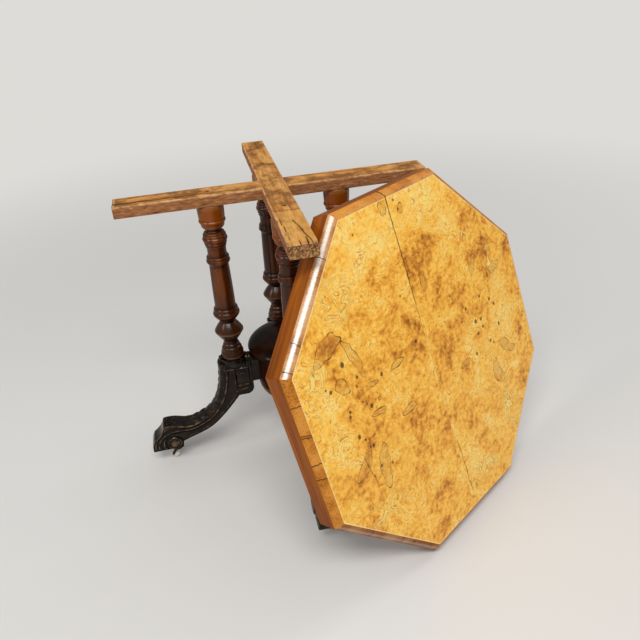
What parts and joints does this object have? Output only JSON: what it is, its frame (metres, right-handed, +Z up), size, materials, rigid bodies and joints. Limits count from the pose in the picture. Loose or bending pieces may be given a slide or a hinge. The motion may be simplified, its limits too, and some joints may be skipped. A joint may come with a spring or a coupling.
{
  "type": "centre table",
  "caption": "Octagonal centre table with its burr veneered top off and leaning against a base of turned columns on carved cabriole legs with castors, under crossed bearers.",
  "frame": {"origin": "on the floor, under the middle of the bounding box of base and leaning top", "axes": "+Z up; +X and +Y along the two crossed bearers, +X to the right and +Y away from a viewer who stands in front of the leaning top's side"},
  "size_m": [0.9602, 0.8707, 0.7004],
  "materials": {
    "bearer_deal": "rough sawn, unpolished and stained by age",
    "column_walnut": "french polished",
    "leg_walnut": "dark polished, worn on the edges",
    "board_wood": "plain",
    "burr_veneer": "french polished burr with swirling figure",
    "border_veneer": "french polished cross banding on a moulding",
    "frieze_veneer": "satin polish",
    "plain_wood": "plain",
    "screw_iron": "rusted",
    "castor_brass": "dark and tarnished",
    "wheel_porcelain": "glazed white"
  },
  "bodies": {
    "base": {"bearer_long": "bearer_deal", "bearer_cross": "bearer_deal", "bearer_screws": "screw_iron", "column_left": "column_walnut", "column_front": "column_walnut", "column_right": "column_walnut", "column_back": "column_walnut", "leg_left": "leg_walnut", "leg_front": "leg_walnut", "leg_right": "leg_walnut", "leg_back": "leg_walnut", "leg_dowels": "plain_wood", "hub": "leg_walnut", "hub_dome": "leg_walnut", "hub_bowl": "column_walnut", "castor_plate_left": "castor_brass", "castor_plate_front": "castor_brass", "castor_plate_right": "castor_brass", "castor_plate_back": "castor_brass", "castor_screws": "castor_brass"},
    "top": {"top_board_left": "board_wood", "top_board_right": "board_wood", "veneer_left": "burr_veneer", "veneer_right": "burr_veneer", "border_1": "border_veneer", "border_2": "border_veneer", "border_3": "border_veneer", "border_4": "border_veneer", "border_5": "border_veneer", "border_6": "border_veneer", "border_7": "border_veneer", "border_8": "border_veneer", "frieze_1": "frieze_veneer", "frieze_2": "frieze_veneer", "frieze_3": "frieze_veneer", "frieze_4": "frieze_veneer", "frieze_5": "frieze_veneer", "frieze_6": "frieze_veneer", "frieze_7": "frieze_veneer", "frieze_8": "frieze_veneer", "glue_blocks": "plain_wood"},
    "castor_left_swivel": {"castor_horn_left": "castor_brass", "castor_axle_left": "castor_brass"},
    "castor_left_wheel": {"castor_wheel_left": "wheel_porcelain"},
    "castor_front_swivel": {"castor_horn_front": "castor_brass", "castor_axle_front": "castor_brass"},
    "castor_front_wheel": {"castor_wheel_front": "wheel_porcelain"},
    "castor_right_swivel": {"castor_horn_right": "castor_brass", "castor_axle_right": "castor_brass"},
    "castor_right_wheel": {"castor_wheel_right": "wheel_porcelain"},
    "castor_back_swivel": {"castor_horn_back": "castor_brass", "castor_axle_back": "castor_brass"},
    "castor_back_wheel": {"castor_wheel_back": "wheel_porcelain"}
  },
  "joints": [
    {"name": "top_lean", "type": "hinge", "parent": "base", "child": "top", "pos_m": [0.19602, -0.26365, 0], "axis": [0.8329, 0.5534, 0], "range_deg": [0, 20.8]},
    {"name": "castor_left_turn", "type": "hinge", "parent": "base", "child": "castor_left_swivel", "pos_m": [-0.42015, 0.07031, 0.04], "axis": [0, 0, 1], "continuous": true},
    {"name": "castor_left_roll", "type": "hinge", "parent": "castor_left_swivel", "child": "castor_left_wheel", "pos_m": [-0.43314, 0.0778, 0.014], "axis": [-0.5, -0.866, 0], "continuous": true},
    {"name": "castor_front_turn", "type": "hinge", "parent": "base", "child": "castor_front_swivel", "pos_m": [-0.11615, -0.2337, 0.04], "axis": [0, 0, 1], "continuous": true},
    {"name": "castor_front_roll", "type": "hinge", "parent": "castor_front_swivel", "child": "castor_front_wheel", "pos_m": [-0.11102, -0.24779, 0.014], "axis": [0.9397, 0.342, 0], "continuous": true},
    {"name": "castor_right_turn", "type": "hinge", "parent": "base", "child": "castor_right_swivel", "pos_m": [0.18785, 0.07031, 0.04], "axis": [0, 0, 1], "continuous": true},
    {"name": "castor_right_roll", "type": "hinge", "parent": "castor_right_swivel", "child": "castor_right_wheel", "pos_m": [0.20014, 0.0617, 0.014], "axis": [0.5736, 0.8192, 0], "continuous": true},
    {"name": "castor_back_turn", "type": "hinge", "parent": "base", "child": "castor_back_swivel", "pos_m": [-0.11615, 0.3743, 0.04], "axis": [0, 0, 1], "continuous": true},
    {"name": "castor_back_roll", "type": "hinge", "parent": "castor_back_swivel", "child": "castor_back_wheel", "pos_m": [-0.12579, 0.38579, 0.014], "axis": [-0.766, -0.6428, 0], "continuous": true}
  ]
}
